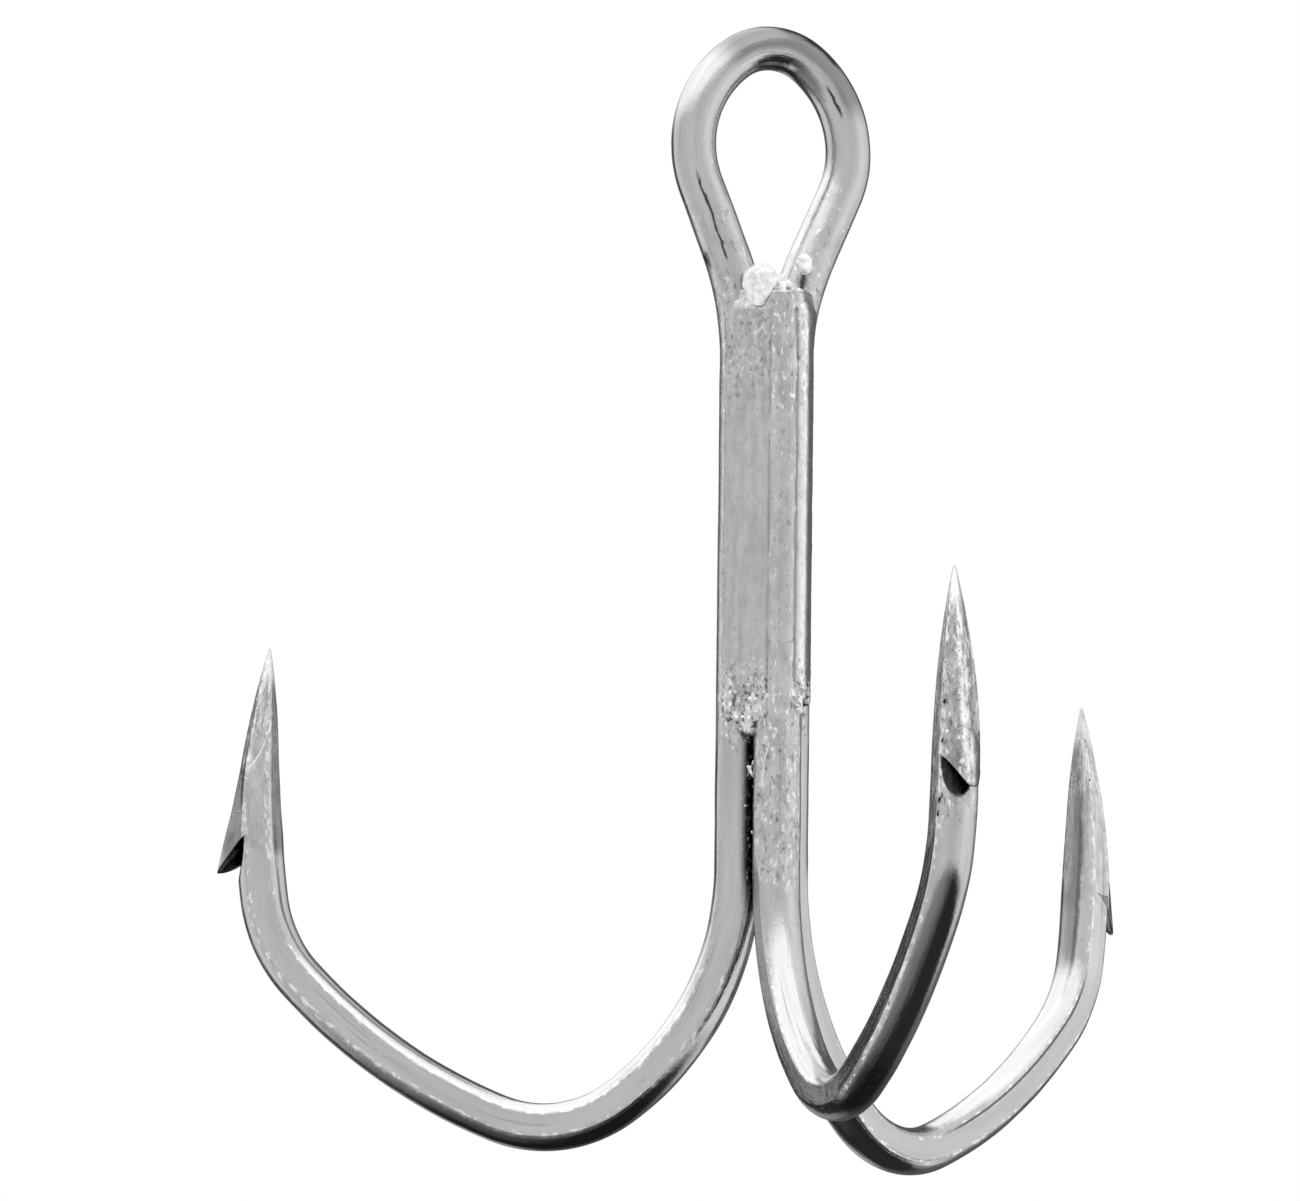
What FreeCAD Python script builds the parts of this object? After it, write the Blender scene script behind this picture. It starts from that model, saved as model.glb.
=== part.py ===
import FreeCAD, Part
import math
import os

from FreeCAD import Matrix, Vector

# Treble fishing hook. Two of its three hooks are the ends of one wire, which is folded over at the
# top to make the line eye. The third hook is a shorter wire of its own, laid in the groove at the
# front of the other two and brazed there.
#
# Frame: the origin is the middle of the eye on its widest line, the eye lies in the XZ plane,
# +Z runs up the shank and the third hook points towards -Y. Millimetres and degrees.

# Wire and how the three wires lie together
wire_diameter = 2.1
wire_gap = 0.05            # brazing metal between two neighbouring wires
shank_length = 32.2        # eye's widest line down to the start of the bends
third_hook_drop = 6.8      # eye's widest line down to the cut end of the third hook
hook_turns = {"left": 150.0, "right": 30.0, "front": -90.0}

# Eye: clear width between its sides, and the arcs of the wire's centre line
eye_clear_width = 5.16
eye_side_radius = 4.9
eye_top_radius = 2.8
eye_leg_slope = 23.0       # how far the legs lean from the shank below the eye
eye_leg_blend_radius = 12.0

# Bend, from the shank to the point: five tangent arcs and a straight point
sweep_radius = 12.6
sweep_angle = 53.0
heel_radius = 5.6
heel_angle = 60.0
base_radius = 25.0
base_angle = 25.0
toe_radius = 6.5
toe_angle = 34.0
rise_radius = 32.0
rise_angle = 12.0
point_straight = 4.5

# Forged flats on both sides of each bend
flat_depth = 0.12          # taken off each side of the round wire
flat_top = 0.8             # how far the flats reach above the start of the bends
flat_run_out = 1.6         # slope at the upper end of a flat

# Spear point, measured back from the tip along the wire
taper_length = 9.0
tip_radius = 0.06
point_stations = (0.004, 0.05, 0.12, 0.22, 0.36, 0.52, 0.7, 0.86, 1.0)

# Barb, cut up from the outside of the point
barb_start = 5.6
barb_root = 8.3
barb_length = 9.75
barb_height = 0.92         # barb tip beyond the surface of the wire
barb_tip_width = 0.7
barb_seat = 0.96           # where it starts, as a share of the point's radius there
barb_width_share = 0.9     # its width there, as a share of the point's
barb_flare = 1.25          # 1 is a straight back, more is a hollow one
barb_stations = (0.0, 0.35, 0.7, 1.08)
scar_depth = 0.12          # left in the wire where the barb was cut up
scar_length = 2.0

# Brazing metal in the grooves between the wires
seam_fill = 0.92           # outer face of a seam, as a share of the wire's radius
seam_run_out = 1.5         # length over which the end of a seam slopes away
seam_left_stop = 5.8       # seam ends above the start of the bends
seam_right_stop = 7.3
seam_rear_stop = 4.6
core_stop = 4.0

# Brazing metal at the throat of the eye
web_drop = 5.45            # eye's widest line down to the bottom of the web's hollow top
web_rim_drop = 4.8         # and down to its highest edge
web_hollow_radius = 1.5
web_thickness = 1.5        # at its top, between the legs of the eye
web_front_width = 0.2      # of its front face there
cap_height = 0.6           # lump on the cut end of the third hook
cap_half_width = 0.6
cap_half_depth = 0.85
cap_lean = 0.2             # how far the cap sits off that wire's centre, to the right
left_bead_height = 2.0     # flattened splash over the left of the third hook's cut end
left_bead_width = 1.7
left_bead_thickness = 1.1
left_bead_drop = 6.5
left_bead_turn = 172.0     # about the third hook's wire
right_bead_height = 1.0    # drop on the front of the eye's right leg
right_bead_width = 0.8
right_bead_drop = 5.6
bead_seat = 0.88           # middle of a bead off its wire's centre, as a share of its radius

cutter_reach = 60.0        # longer than anything a cutter has to pass
cut_overlap = 0.01         # how far a cutter's edge stands clear of the surface where it fades out

wire_radius = wire_diameter / 2
stack_radius = (wire_diameter + wire_gap) / math.sqrt(3)
leg_x = stack_radius * math.cos(math.radians(30))
axis_y = -stack_radius * math.sin(math.radians(30))
front_y = axis_y - stack_radius
bend_start = -shank_length

SIDEWAYS = Vector(0, 1, 0)
UP = Vector(0, 0, 1)


def sin_deg(angle):
    return math.sin(math.radians(angle))


def cos_deg(angle):
    return math.cos(math.radians(angle))


def polygon(corners):
    """Flat face with these corners."""
    return Part.Face(Part.makePolygon(corners + [corners[0]]))


def prism(corners, along):
    return polygon(corners).extrude(along)


def circle(centre, normal, radius):
    return Part.Wire([Part.Circle(centre, normal, radius).toShape()])


# ---- the line of one bend, in the plane y = 0, with x out from the three-wire axis ----

def heading(angle):
    """Direction of travel after turning outwards by angle from straight down."""
    return Vector(sin_deg(angle), 0, -cos_deg(angle))


def outside(angle):
    """Direction square to the wire, away from the gape."""
    return Vector(-cos_deg(angle), 0, -sin_deg(angle))


class Stretch:
    """One arc of a bend, or a straight where radius is None."""

    def __init__(self, start, angle, radius, turn, length):
        self.start = start
        self.angle = angle
        self.radius = radius
        self.turn = turn
        self.length = length

    def at(self, travelled):
        """Place and heading angle after travelling this far along it."""
        if self.radius is None:
            return self.start + heading(self.angle) * travelled, self.angle
        angle = self.angle + self.turn * travelled / self.length
        centre = self.start - outside(self.angle) * self.radius
        return centre + outside(angle) * self.radius, angle

    def edge(self, travelled):
        """Its edge from the start to this far along it."""
        end = self.at(travelled)[0]
        if self.radius is None:
            return Part.LineSegment(self.start, end).toShape()
        return Part.Arc(self.start, self.at(travelled / 2)[0], end).toShape()


def bend_stretches():
    """The arcs of a bend and its straight point, from the shank to the tip."""
    arcs = [
        (sweep_radius, sweep_angle),
        (heel_radius, heel_angle),
        (base_radius, base_angle),
        (toe_radius, toe_angle),
        (rise_radius, rise_angle),
    ]
    place = Vector(stack_radius, 0, bend_start)
    angle = 0.0
    stretches = []
    for radius, turn in arcs:
        stretches.append(Stretch(place, angle, radius, turn, math.radians(turn) * radius))
        place, angle = stretches[-1].at(stretches[-1].length)
    stretches.append(Stretch(place, angle, None, 0.0, point_straight))
    return stretches


def station(back):
    """Place and heading angle on the wire's centre line at a distance back from the tip."""
    left = back
    for stretch in reversed(bend_stretches()):
        if left <= stretch.length:
            return stretch.at(stretch.length - left)
        left -= stretch.length
    return Vector(stack_radius, 0, bend_start + left), 0.0


def off_centre(back, distance):
    """Point at a distance outwards from the wire's centre line, back from the tip."""
    place, angle = station(back)
    return place + outside(angle) * distance


def point_radius(back):
    """Radius of the round point: a parabola that meets the wire at taper_length."""
    share = min(back / taper_length, 1.0)
    return tip_radius + (wire_radius - tip_radius) * (1 - (1 - share) ** 2)


# ---- pieces of one hook, in the plane y = 0 with the gape towards +X ----

def round_bend():
    """The round wire from the start of the bend to where the point begins to taper."""
    left = sum(stretch.length for stretch in bend_stretches()) - taper_length
    edges = []
    for stretch in bend_stretches():
        if left > 0:
            edges.append(stretch.edge(min(left, stretch.length)))
        left -= stretch.length
    section = circle(Vector(stack_radius, 0, bend_start), UP, wire_radius)
    return Part.Wire(edges).makePipe(Part.Face(section))


def spear():
    """The tapering point, lofted through round sections."""
    sections = []
    for share in point_stations:
        place, angle = station(taper_length * share)
        sections.append(circle(place, heading(angle), point_radius(taper_length * share)))
    return Part.makeLoft(sections, True, False)


def oval(back, outer, half_width):
    """Elliptic section square to the wire, from outer inwards, deeper towards the barb's tip."""
    share = (back - barb_start) / (barb_length - barb_start)
    half_depth = half_width * (barb_width_share + share / 2)
    place, angle = station(back)
    centre = place + outside(angle) * (outer - half_depth)
    out_tip = centre + outside(angle) * half_depth
    side_tip = centre + SIDEWAYS * half_width
    if half_depth >= half_width:
        curve = Part.Ellipse(out_tip, side_tip, centre)
    else:
        curve = Part.Ellipse(side_tip, out_tip, centre)
    return Part.Wire([curve.toShape()])


def barb():
    """A sliver raised from the outside of the point: an oval loft cut off along its underside."""
    root_radius = point_radius(barb_start)
    start_outer = root_radius * barb_seat
    start_width = root_radius * barb_width_share
    tip_outer = wire_radius + barb_height
    sections = []
    for share in barb_stations:
        outer = start_outer + (tip_outer - start_outer) * share ** barb_flare
        half_width = start_width * (1 - share) + barb_tip_width / 2 * share
        sections.append(oval(barb_start + (barb_length - barb_start) * share, outer, half_width))
    root = off_centre(barb_root, wire_radius - scar_depth)
    tip = off_centre(barb_length, tip_outer)
    slope = (tip - root).normalize() * barb_length
    below = heading(station(barb_root)[1]) * -barb_length
    near = root - slope
    far = tip + slope
    corners = [near, far, far + below, near + below]
    across = SIDEWAYS * cutter_reach
    under = prism([corner - across / 2 for corner in corners], across)
    return Part.makeLoft(sections, True, False).cut(under)


def scar():
    """Shallow slice taken off the outside of the wire behind the barb."""
    root = off_centre(barb_root, wire_radius - scar_depth)
    end = off_centre(barb_root + scar_length, wire_radius + cut_overlap)
    out = outside(station(barb_root)[1]) * wire_radius
    across = SIDEWAYS * cutter_reach
    return prism([corner - across / 2 for corner in (root, end, end + out, root + out)], across)


def side_flats():
    """Two cutters that leave a flat on each side of the bend, sloping out at the upper end."""
    inner = wire_radius - flat_depth
    top = bend_start + flat_top
    corners = [
        Vector(0, inner, bend_start - cutter_reach),
        Vector(0, inner, top - flat_run_out),
        Vector(0, wire_radius + cut_overlap, top),
        Vector(0, wire_diameter, top),
        Vector(0, wire_diameter, bend_start - cutter_reach),
    ]
    slab = prism(corners, Vector(cutter_reach, 0, 0))
    return [slab, slab.mirror(Vector(0, 0, 0), SIDEWAYS)]


def finished_bend():
    """Bend, point and barb of one hook."""
    body = round_bend().fuse(spear()).cut(scar()).fuse(barb())
    for cutter in side_flats():
        body = body.cut(cutter)
    return body.removeSplitter()


def turned(shape, turn):
    """Place a shape made in the plane of one hook at its turn about the three-wire axis."""
    placed = shape.copy()
    placed.rotate(Vector(0, 0, 0), UP, turn)
    placed.translate(Vector(0, axis_y, 0))
    return placed


# ---- the folded wire: its eye and legs, in the plane y = 0 ----

eye_half_width = eye_clear_width / 2 + wire_radius
side_centre_x = eye_half_width - eye_side_radius
top_centre_z = math.sqrt((eye_side_radius - eye_top_radius) ** 2 - side_centre_x ** 2)
top_join_angle = math.degrees(math.atan2(top_centre_z, -side_centre_x))
slope_top_x = side_centre_x + eye_side_radius * cos_deg(eye_leg_slope)
slope_top_z = -eye_side_radius * sin_deg(eye_leg_slope)
slope_end_x = leg_x + eye_leg_blend_radius * (1 - cos_deg(eye_leg_slope))
slope_length = (slope_top_x - slope_end_x) / sin_deg(eye_leg_slope)
slope_end_z = slope_top_z - slope_length * cos_deg(eye_leg_slope)
legs_meet = slope_end_z - eye_leg_blend_radius * sin_deg(eye_leg_slope)


def leg_centre(z):
    """How far the centre line of a leg of the eye is from the middle plane at height z."""
    if z <= legs_meet:
        return leg_x
    if z <= slope_end_z:
        angle = math.asin((z - legs_meet) / eye_leg_blend_radius)
        return leg_x + eye_leg_blend_radius * (1 - math.cos(angle))
    return slope_end_x + (z - slope_end_z) * math.tan(math.radians(eye_leg_slope))


def arc_through(centre_x, centre_z, radius, start, end):
    """Arc in the plane of the eye between two angles counted from +X towards +Z."""
    points = []
    for angle in (start, (start + end) / 2, end):
        points.append(Vector(centre_x + radius * cos_deg(angle), 0, centre_z + radius * sin_deg(angle)))
    return Part.Arc(*points).toShape()


def eye_and_legs():
    """The folded wire down to the start of both bends: one half, and its mirror image."""
    blend_x = leg_x + eye_leg_blend_radius
    slope_top = Vector(slope_top_x, 0, slope_top_z)
    slope_end = Vector(slope_end_x, 0, slope_end_z)
    path = Part.Wire([
        arc_through(0, top_centre_z, eye_top_radius, 90, top_join_angle),
        arc_through(side_centre_x, 0, eye_side_radius, top_join_angle, -eye_leg_slope),
        Part.LineSegment(slope_top, slope_end).toShape(),
        arc_through(blend_x, legs_meet, eye_leg_blend_radius, 180 - eye_leg_slope, 180),
        Part.LineSegment(Vector(leg_x, 0, legs_meet), Vector(leg_x, 0, bend_start)).toShape(),
    ])
    section = circle(Vector(0, 0, top_centre_z + eye_top_radius), Vector(1, 0, 0), wire_radius)
    right = path.makePipe(Part.Face(section))
    return right.fuse(right.mirror(Vector(0, 0, 0), Vector(1, 0, 0))).removeSplitter()


def third_shank():
    length = shank_length - third_hook_drop
    return Part.makeCylinder(wire_radius, length, Vector(0, front_y, bend_start))


# ---- brazing metal ----

def wire_centres(z):
    """Centres of the left leg, the right leg and the third hook's wire at height z."""
    x = leg_centre(z)
    return Vector(-x, 0, z), Vector(x, 0, z), Vector(0, front_y, z)


def groove_out(first, second):
    """Direction out of the groove between two wires, taken anticlockwise seen from above."""
    line = (second - first).normalize()
    return Vector(line.y, -line.x, 0)


def groove_corners(first, second):
    """The two outer corners of the metal in the groove between two wires."""
    out = groove_out(first, second) * wire_radius * seam_fill
    return [first + out, second + out]


def groove_seam(first, second, stop):
    """Metal in one groove, from legs_meet down to stop, where it slopes into the groove."""
    corners = [first, second] + groove_corners(first, second)[::-1]
    raised = [Vector(corner.x, corner.y, legs_meet) for corner in corners]
    solid = prism(raised, Vector(0, 0, stop - legs_meet))
    line = (second - first).normalize() * cutter_reach
    out = groove_out(first, second) * wire_radius * seam_fill
    start = Vector(first.x, first.y, stop) - line / 2
    slope = out * 2 + Vector(0, 0, seam_run_out * 2)
    return solid.cut(prism([start, start + out * 2, start + slope], line))


def braze_core():
    """Metal that fills the three-sided space enclosed by the wires."""
    bottom = bend_start + core_stop
    return prism(list(wire_centres(bottom)), Vector(0, 0, legs_meet - bottom))


def web_section(z):
    """Outline of the brazing metal round the three wires at height z."""
    left, right, front = wire_centres(z)
    rear_corners = groove_corners(right, left)
    corners = [rear_corners[1]] + groove_corners(left, front) + groove_corners(front, right)
    return Part.makePolygon(corners + [rear_corners[0], rear_corners[1]])


def web_rim():
    """Outline of the top of the web, between the legs of the eye."""
    left, right, front = wire_centres(-web_rim_drop)
    half = Vector(0, web_thickness / 2, 0)
    middle = Vector(0, 0, -web_rim_drop) - half
    side = Vector(web_front_width / 2, 0, 0)
    corners = [left + half, left - half, middle - side, middle + side, right - half, right + half]
    return Part.makePolygon(corners + [corners[0]])


def eye_web():
    """Metal that fills the throat of the eye down to the seams, with a hollow top."""
    heights = (legs_meet, (legs_meet - third_hook_drop) / 2, -third_hook_drop)
    sections = [web_section(z) for z in heights] + [web_rim()]
    hollow_start = Vector(0, -cutter_reach / 2, web_hollow_radius - web_drop)
    hollow = Part.makeCylinder(web_hollow_radius, cutter_reach, hollow_start, SIDEWAYS)
    return Part.makeLoft(sections, True, True).cut(hollow)


def lump(centre, half_x, half_y, half_z):
    """An ellipsoid."""
    stretch = Matrix()
    stretch.scale(half_x, half_y, half_z)
    solid = Part.makeSphere(1.0).transformGeometry(stretch)
    solid.translate(centre)
    return solid


def third_hook_cap():
    """Flattened lump on the cut end of the third hook."""
    centre = Vector(cap_lean, front_y, -third_hook_drop)
    return lump(centre, cap_half_width, cap_half_depth, cap_height)


def left_bead():
    """Splash of metal against the left side of the third hook's cut end."""
    side = Vector(cos_deg(left_bead_turn), sin_deg(left_bead_turn), 0) * wire_radius * bead_seat
    centre = Vector(0, front_y, -left_bead_drop) + side
    return lump(centre, left_bead_width / 2, left_bead_thickness / 2, left_bead_height / 2)


def right_bead():
    """Drop of metal on the front of the eye's right leg."""
    centre = Vector(leg_centre(-right_bead_drop), -wire_radius * bead_seat, -right_bead_drop)
    return lump(centre, right_bead_width / 2, right_bead_width / 2, right_bead_height / 2)


def wires():
    """The two wires, each one solid."""
    bend = finished_bend()
    double_hook = eye_and_legs()
    for name in ("left", "right"):
        double_hook = double_hook.fuse(turned(bend, hook_turns[name]))
    third_hook = third_shank().fuse(turned(bend, hook_turns["front"]))
    return {
        "double_hook": double_hook.removeSplitter(),
        "third_hook": third_hook.removeSplitter(),
    }


def brazing():
    """The runs and drops of brazing metal, before the wires are cut out of them."""
    left, right, front = wire_centres(bend_start)
    return {
        "eye_web": eye_web(),
        "braze_core": braze_core(),
        "seam_front_left": groove_seam(left, front, bend_start + seam_left_stop),
        "seam_front_right": groove_seam(front, right, bend_start + seam_right_stop),
        "seam_rear": groove_seam(right, left, bend_start + seam_rear_stop),
        "third_hook_cap": third_hook_cap(),
        "bead_left": left_bead(),
        "bead_right": right_bead(),
    }


def main():
    """Each run of brazing metal gives way to the wires and to the runs laid before it."""
    nodes = wires()
    for name, shape in brazing().items():
        for laid in list(nodes.values()):
            shape = shape.cut(laid)
        nodes[name] = max(shape.Solids, key=lambda solid: solid.Volume)

    os.makedirs("parts", exist_ok=True)
    for name, shape in nodes.items():
        shape.exportStep(os.path.join("parts", name + ".step"))
        box = shape.BoundBox
        print(f"{name:18s} solids {len(shape.Solids)} valid {shape.isValid()}"
              f" volume {shape.Volume:9.3f} z {box.ZMin:8.3f} to {box.ZMax:8.3f}")


main()
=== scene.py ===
import math

import bpy
import numpy as np
from mathutils import Matrix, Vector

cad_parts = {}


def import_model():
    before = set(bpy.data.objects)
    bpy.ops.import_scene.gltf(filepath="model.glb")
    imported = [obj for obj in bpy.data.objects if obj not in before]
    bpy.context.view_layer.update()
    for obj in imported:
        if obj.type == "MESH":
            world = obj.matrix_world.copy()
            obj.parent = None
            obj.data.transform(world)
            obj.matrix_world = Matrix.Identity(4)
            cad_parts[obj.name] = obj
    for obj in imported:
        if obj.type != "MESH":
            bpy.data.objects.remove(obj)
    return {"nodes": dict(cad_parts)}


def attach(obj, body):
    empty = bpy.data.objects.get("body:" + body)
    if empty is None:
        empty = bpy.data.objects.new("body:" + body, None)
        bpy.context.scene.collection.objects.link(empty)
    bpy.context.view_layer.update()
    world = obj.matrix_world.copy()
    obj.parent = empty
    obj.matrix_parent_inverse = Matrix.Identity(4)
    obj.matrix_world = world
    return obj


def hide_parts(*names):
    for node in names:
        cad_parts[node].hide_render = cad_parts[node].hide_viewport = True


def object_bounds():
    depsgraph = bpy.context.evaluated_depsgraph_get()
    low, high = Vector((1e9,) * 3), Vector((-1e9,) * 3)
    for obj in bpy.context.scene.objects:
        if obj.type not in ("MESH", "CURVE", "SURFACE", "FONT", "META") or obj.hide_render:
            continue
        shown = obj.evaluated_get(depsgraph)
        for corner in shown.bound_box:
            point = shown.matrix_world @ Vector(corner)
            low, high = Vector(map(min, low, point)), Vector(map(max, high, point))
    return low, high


# Treble fishing hook. Sizes are in millimetres and degrees, in the frame of the solids: the origin is
# the middle of the eye on its widest line, the eye lies in the XZ plane, +Z runs up the shank and the
# third hook points towards -Y.

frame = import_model()
solid_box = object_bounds()

MM = 0.001

# Wire and how the three wires lie together
wire_diameter = 2.1
wire_gap = 0.05
shank_length = 32.2        # eye's widest line down to the start of the bends
third_hook_drop = 6.8      # eye's widest line down to the cut end of the third hook
hook_turns = {"left": 150.0, "right": 30.0, "front": -90.0}

# Eye: clear width between its sides, and the arcs of the wire's centre line
eye_clear_width = 5.16
eye_side_radius = 4.9
eye_top_radius = 2.8
eye_leg_slope = 23.0
eye_leg_blend_radius = 12.0
eye_lean = 0.1             # sideways shift of the eye from the shank
eye_thinning = 0.08        # the bent wire is thinner over the top of the eye by this share

# Bend, from the shank to the point: tangent arcs of (radius, turn), then a straight point
bend_arcs = ((12.6, 53.0), (5.6, 60.0), (25.0, 25.0), (6.5, 34.0), (32.0, 12.0))
point_straight = 4.5

# Forged flats on both sides of each bend
flat_share = 0.885         # half the thickness across the flats, as a share of the wire's radius
flat_top = 0.8             # how far the flats reach above the start of the bends
flat_run_out = 1.6

# Spear point, measured back from the tip along the wire
taper_length = 9.0
tip_radius = 0.06
barb_start = 5.2
barb_root = 8.3
barb_length = 9.76
barb_flare = 0.0753        # rise of the barb's back beyond the taper, times a power of the distance
barb_power = 1.65
barb_high_width = 34.0     # how far round the wire the barb's free edge reaches on its high side
barb_low_width = 72.0
barb_high_fall = 1.6       # how suddenly the free edge runs out on each side, as a power
barb_low_fall = 3
barb_high_flank = 30.0     # how far round the wire the raised back of the barb spreads on each side
barb_low_flank = 44.0
cut_depth = 0.72           # from the middle of the wire out to the floor of the cut at the barb's root
cut_lean = 14.0            # how far the floor of the cut leans to the barb's high side
cut_length = 1.9
cut_shade_depth = 0.04            # depth over which the painted shade on the floor of the cut turns full
underside_run = 0.12       # how far the wire advances while the barb's underside folds back
ground_faces = ((0.0, 0.96), (32.0, 0.90), (162.0, 0.93))
ground_length = 6.8        # the ground faces of the point end here, back from its tip
ground_fade = 1.6

# Rows of faces along a hook, and how far its own rows reach above the start of its bend
fine_tip = 0.5
row_step = 0.12
hook_overlap = 1.0

# Surface of the wire, the rounded cut end of the third hook, and painted shade on the belly of its bend and
# where the wires come close
wire_wear = 0.006
wire_wear_scale = 2.6
cut_end_rounding = 0.12
belly_span = (22.0, 33.0)  # back from the tip
belly_shade = 0.62
shade_near = 0.30           # painted shade is full within this distance of another wire's surface
shade_fade = 0.36
shade_top = 6.5             # above the start of the bends

# Brazing metal in the grooves
seam_top = -6.6
seam_run_out = 0.7
seam_shapes = {            # ends across the groove, level on the wires and crown, as shares
    "front_left": (-1.15, 1.23, 1.012, 0.0),
    "front_right": (-1.67, 1.12, 1.01, 0.14),
    "rear": (-1.0, 1.0, 0.93, 0.0),
}
seam_stops = {             # lower ends, above the start of the bends
    "front_left": 5.8,
    "front_right": 7.3,
    "rear": 4.6,
}
seam_shade_lines = {            # place across the seam of a dark line of painted shade at its border, and how dark it is
    "front_left": (0.97, 0.45),
    "front_right": (-0.97, 0.7),
    "rear": (0.8, 0.0),
}
seam_shade_width = 0.05     # half width of that line
seam_whiteness = {         # how white a band near the first wire is
    "front_left": 0.0,
    "front_right": 0.9,
    "rear": 0.0,
}
seam_white_place = -0.66
seam_white_width = 0.22
groove_level = 0.2         # metal left in the open groove below a seam, as a share of the radius
crumb_level = 0.45
pitted_below = -22.0       # heights between which the brazing has left the metal calm
pitted_above = -13.0

# Brazing metal in the throat of the eye
web_drop = 5.65
web_thickness = 1.5
web_hollow = 0.62          # how much the saddle rises from its middle to the legs
web_narrowing = 0.35       # how far the web's ends stop short of the middle of each leg
web_front_spread = 0.95    # how much further out the web's faces are at their foot
web_rear_spread = 0.2

# Lumps of brazing metal: middles and half sizes
cap_centre = (-0.12, -1.95, -6.85)
cap_half = (0.72, 0.85, 0.66)
splash_centre = (-1.10, -2.0, -6.55)
splash_half = (0.80, 0.50, 0.94)
splash_turn = -35.0
drop_centre = (1.36, -0.98, -5.2)
drop_half = (0.44, 0.40, 0.52)
lump_gaps = (0.64, 0.96)   # how near to the middle the faces of a lump lie
lump_round = 0.9           # the ball that rounds off its corners

# Marks on the shank's front wire: angle round the wire, height above the start of the bend, and slant
tick_turn = 2.85
tick_height = 20.7
tick_slant = 0.27
scratch_turn = -1.34
scratch_height = 4.4
scratch_slant = 0.196

# Dark touches on the eye: angle round the wire and distance along it from the top of the eye, each
# with how far the touch is full and where it ends
eye_touches = (
    ((-1.45, 0.02, 0.09), (-9.7, 1.6, 2.2)),
    ((-0.62, 0.03, 0.11), (3.9, 0.5, 1.0)),
    ((-2.05, 0.30, 0.5), (1.75, 0.6, 1.0)),
    ((-2.55, 0.15, 0.4), (-11.45, 0.1, 0.45)),
    ((-0.75, 0.05, 0.25), (12.75, 0.1, 0.5)),
)

# Grey of the plated metal, and how deep the relief of the metals is
plated_grey = 0.62
plated_bump = 0.03
core_bump = 0.05

wire_radius = wire_diameter / 2
stack_radius = (wire_diameter + wire_gap) / math.sqrt(3)
leg_x = stack_radius * math.cos(math.radians(30))
axis_y = -stack_radius * math.sin(math.radians(30))
front_y = axis_y - stack_radius
bend_start = -shank_length


# ---- lines of the wire ----

def follow(stretches, start, heading, travelled):
    """Place and heading along tangent stretches of (length, turn): x and z grow by the sine and
    cosine differences of an arc of radius length / turn, or straight on where turn is 0."""
    before = np.minimum(travelled, 0.0)
    left = np.maximum(travelled, 0.0)
    x = start[0] + before * math.cos(heading)
    z = start[1] + before * math.sin(heading)
    angle = np.full(np.shape(travelled), heading)
    for length, turn in stretches:
        step = np.minimum(left, length)
        left = left - step
        if turn == 0.0:
            x = x + step * np.cos(angle)
            z = z + step * np.sin(angle)
            continue
        radius = length / turn
        swung = angle + step / radius
        x = x + radius * (np.sin(swung) - np.sin(angle))
        z = z + radius * (np.cos(angle) - np.cos(swung))
        angle = swung
    return x + left * np.cos(angle), z + left * np.sin(angle), angle


def arc(radius, turn):
    """A stretch for follow: an arc of this radius, turning by this many degrees."""
    return radius * math.radians(abs(turn)), math.radians(turn)


bend_stretches = [arc(radius, turn) for radius, turn in bend_arcs] + [(point_straight, 0.0)]
bend_length = sum(length for length, turn in bend_stretches)

eye_half_width = eye_clear_width / 2 + wire_radius
side_centre_x = eye_half_width - eye_side_radius
top_centre_z = math.sqrt((eye_side_radius - eye_top_radius) ** 2 - side_centre_x ** 2)
top_join = math.degrees(math.atan2(top_centre_z, -side_centre_x))
slope_top_x = side_centre_x + eye_side_radius * math.cos(math.radians(eye_leg_slope))
slope_end_x = leg_x + eye_leg_blend_radius * (1 - math.cos(math.radians(eye_leg_slope)))
slope_length = (slope_top_x - slope_end_x) / math.sin(math.radians(eye_leg_slope))
slope_drop = (slope_length * math.cos(math.radians(eye_leg_slope))
              + (eye_side_radius + eye_leg_blend_radius) * math.sin(math.radians(eye_leg_slope)))
legs_meet = -slope_drop
eye_top_z = top_centre_z + eye_top_radius
half_eye = [
    arc(eye_top_radius, top_join - 90.0),
    arc(eye_side_radius, -top_join - eye_leg_slope),
    (slope_length, 0.0),
    arc(eye_leg_blend_radius, eye_leg_slope),
]
half_eye_length = sum(length for length, turn in half_eye)


def smooth(share):
    """0 to 1 with level ends, for shares from 0 to 1."""
    share = np.clip(share, 0.0, 1.0)
    return share * share * (3.0 - 2.0 * share)


def ripple(points, scale, seed, waves=14):
    """Smooth unevenness from -1 to 1: a sum of sine waves in random directions over the points,
    about one bump per scale."""
    chance = np.random.default_rng(seed)
    total = np.zeros(points.shape[:-1])
    for _ in range(waves):
        direction = chance.normal(size=3)
        direction *= chance.uniform(3.0, 8.0) / (scale * np.linalg.norm(direction))
        total += np.sin(points @ direction + chance.uniform(0.0, 2 * math.pi))
    return total / math.sqrt(waves)


# ---- meshes ----

def add_layer(mesh, key, values):
    """Numbers or vectors on the points of a skin; each pole takes the mean of the row beside it."""
    ends = np.stack((values[0].mean(axis=0), values[-1].mean(axis=0)))
    flat = np.concatenate((values.reshape((-1,) + values.shape[2:]), ends)).astype(np.float32)
    if flat.ndim == 2:
        mesh.attributes.new(key, "FLOAT_VECTOR", "POINT").data.foreach_set("vector", flat.ravel())
    else:
        mesh.attributes.new(key, "FLOAT", "POINT").data.foreach_set("value", flat)


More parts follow.
